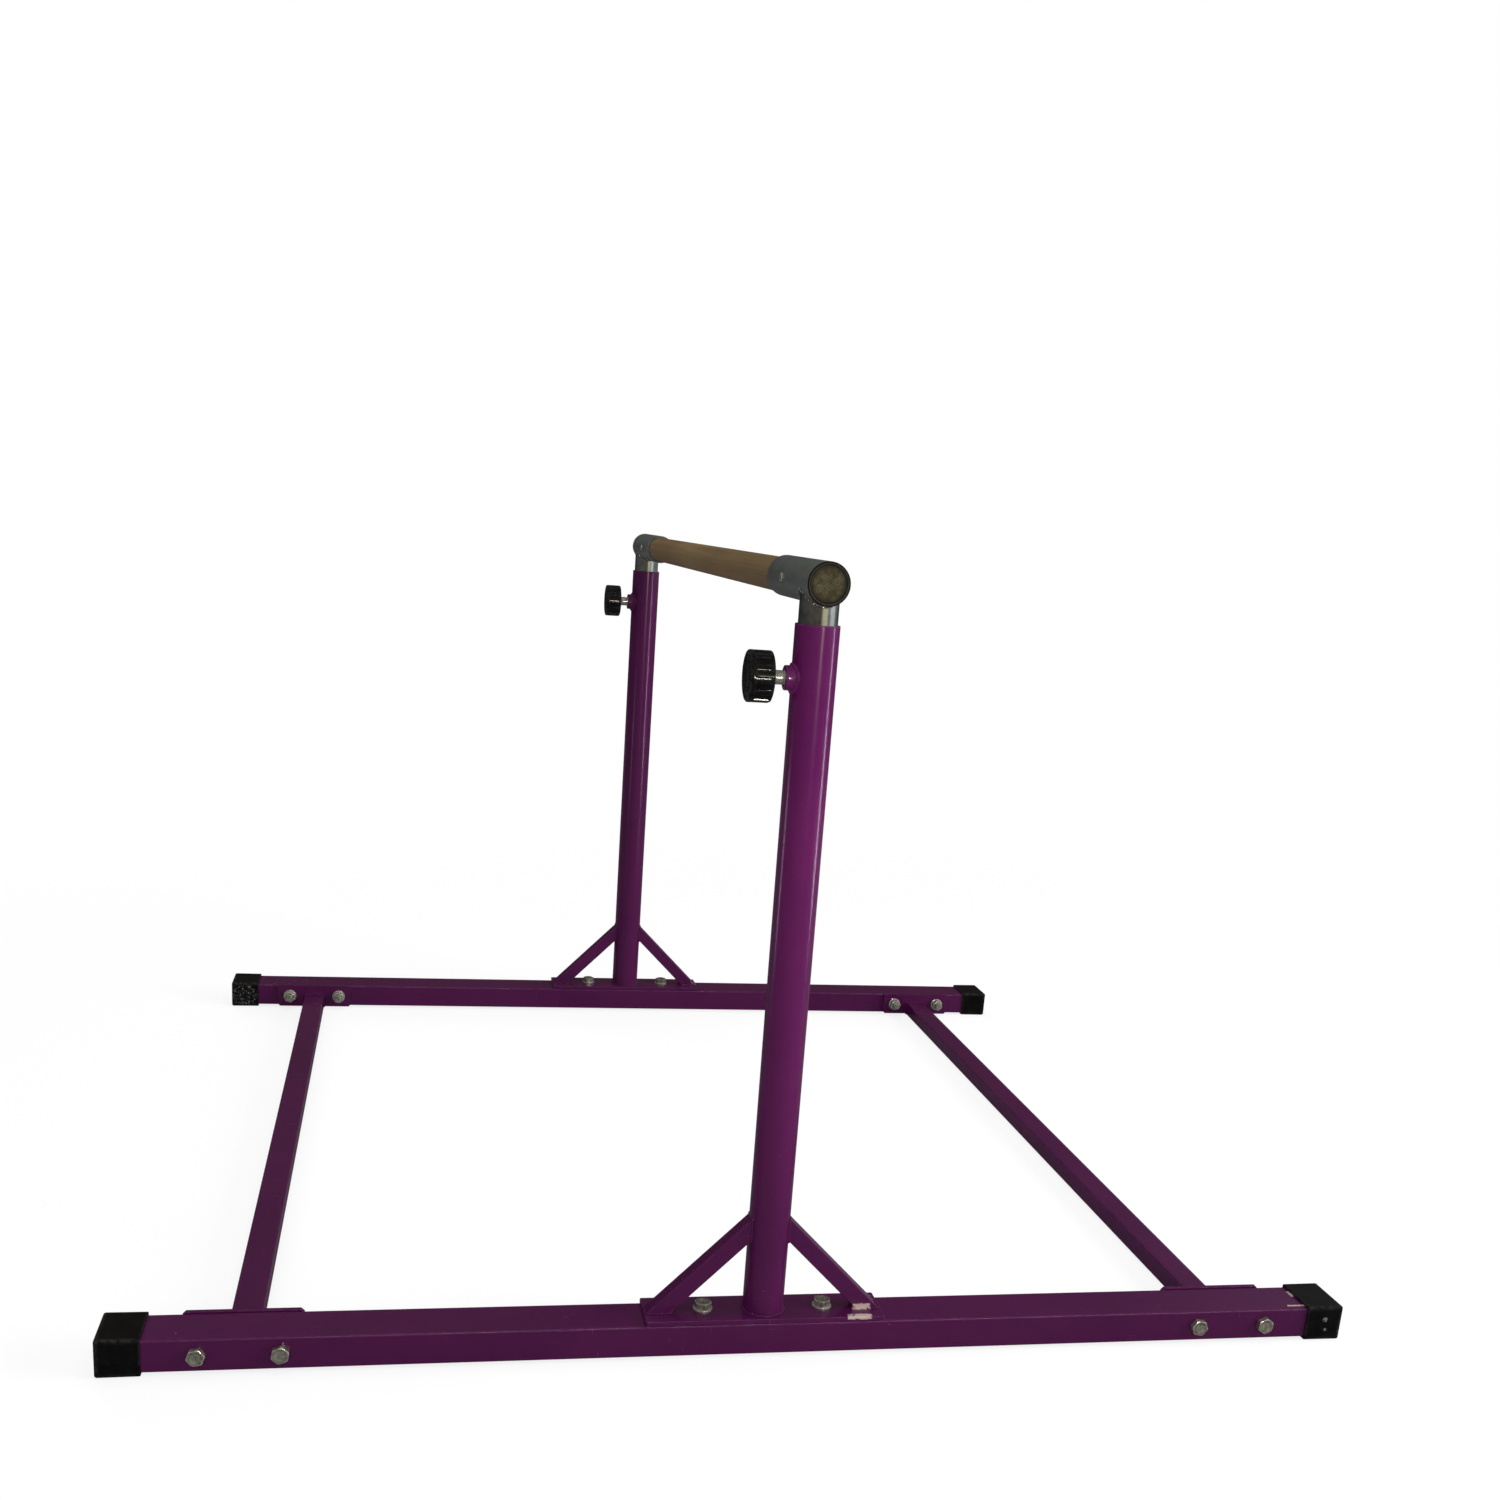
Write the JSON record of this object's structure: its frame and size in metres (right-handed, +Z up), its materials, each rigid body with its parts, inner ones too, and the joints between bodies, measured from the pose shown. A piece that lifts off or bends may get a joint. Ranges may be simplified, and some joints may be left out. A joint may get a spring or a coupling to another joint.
{
  "type": "adjustable gymnastics training bar",
  "caption": "Free-standing training bar: a wooden bar in steel sleeves on telescoping uprights with spring pins, on a bolted rectangular floor frame.",
  "frame": {"origin": "on the floor at the centre of the floor frame, midway between the two uprights", "axes": "+X along the base tubes to the right, +Y along the bar towards the far upright, +Z up; the locking pins are on the -X side"},
  "size_m": [1.536, 1.504, 0.9381],
  "materials": {
    "purple_steel": "gloss purple powder coat",
    "rubber_caps": "black moulded rubber, satin",
    "zinc_fasteners": "bright zinc plate",
    "bright_zinc_tube": "bright zinc plated tube",
    "grey_sleeve": "satin grey zinc",
    "bar_wood": "sanded hardwood, light sealer",
    "black_knobs": "black moulded plastic, slight gloss"
  },
  "bodies": {
    "frame": {"near_base_tube": "purple_steel", "near_left_base_cap": "rubber_caps", "near_left_rail_plate": "purple_steel", "near_left_rail_bolt_a": "zinc_fasteners", "near_left_rail_nut_a": "zinc_fasteners", "near_left_rail_bolt_b": "zinc_fasteners", "near_left_rail_nut_b": "zinc_fasteners", "near_left_brace": "purple_steel", "near_post_bolt_left": "zinc_fasteners", "near_right_base_cap": "rubber_caps", "near_right_rail_plate": "purple_steel", "near_right_rail_bolt_a": "zinc_fasteners", "near_right_rail_nut_a": "zinc_fasteners", "near_right_rail_bolt_b": "zinc_fasteners", "near_right_rail_nut_b": "zinc_fasteners", "near_right_brace": "purple_steel", "near_post_bolt_right": "zinc_fasteners", "near_post_base_plate": "purple_steel", "near_post_tube": "purple_steel", "near_pin_boss": "purple_steel", "near_pin_barrel": "zinc_fasteners", "near_pin_spring": "zinc_fasteners", "far_base_tube": "purple_steel", "far_left_base_cap": "rubber_caps", "far_left_rail_plate": "purple_steel", "far_left_rail_bolt_a": "zinc_fasteners", "far_left_rail_nut_a": "zinc_fasteners", "far_left_rail_bolt_b": "zinc_fasteners", "far_left_rail_nut_b": "zinc_fasteners", "far_left_brace": "purple_steel", "far_post_bolt_left": "zinc_fasteners", "far_right_base_cap": "rubber_caps", "far_right_rail_plate": "purple_steel", "far_right_rail_bolt_a": "zinc_fasteners", "far_right_rail_nut_a": "zinc_fasteners", "far_right_rail_bolt_b": "zinc_fasteners", "far_right_rail_nut_b": "zinc_fasteners", "far_right_brace": "purple_steel", "far_post_bolt_right": "zinc_fasteners", "far_post_base_plate": "purple_steel", "far_post_tube": "purple_steel", "far_pin_boss": "purple_steel", "far_pin_barrel": "zinc_fasteners", "far_pin_spring": "zinc_fasteners", "left_side_rail": "purple_steel", "right_side_rail": "purple_steel"},
    "bar_assembly": {"near_inner_tube": "bright_zinc_tube", "near_bar_sleeve": "grey_sleeve", "near_sleeve_screw": "zinc_fasteners", "far_inner_tube": "bright_zinc_tube", "far_bar_sleeve": "grey_sleeve", "far_sleeve_screw": "zinc_fasteners", "wooden_bar": "bar_wood"},
    "near_pin": {"near_lock_pin": "zinc_fasteners"},
    "near_knob": {"near_lock_knob": "black_knobs"},
    "far_pin": {"far_lock_pin": "zinc_fasteners"},
    "far_knob": {"far_lock_knob": "black_knobs"}
  },
  "joints": [
    {"name": "bar_height", "type": "slide", "parent": "frame", "child": "bar_assembly", "axis": [0, 0, 1], "range_m": [0, 0.6096]},
    {"name": "near_pin_pull", "type": "slide", "parent": "frame", "child": "near_pin", "axis": [-1, 0, 0], "range_m": [0, 0.008], "stiffness_N_per_m": 900, "springref_m": -0.009, "deforming": ["near_pin_spring"]},
    {"name": "near_knob_turn", "type": "hinge", "parent": "near_pin", "child": "near_knob", "pos_m": [-0.06, -0.7125, 0.811], "axis": [-1, 0, 0], "continuous": true},
    {"name": "far_pin_pull", "type": "slide", "parent": "frame", "child": "far_pin", "axis": [-1, 0, 0], "range_m": [0, 0.008], "stiffness_N_per_m": 900, "springref_m": -0.009, "deforming": ["far_pin_spring"]},
    {"name": "far_knob_turn", "type": "hinge", "parent": "far_pin", "child": "far_knob", "pos_m": [-0.06, 0.7125, 0.811], "axis": [-1, 0, 0], "continuous": true}
  ]
}
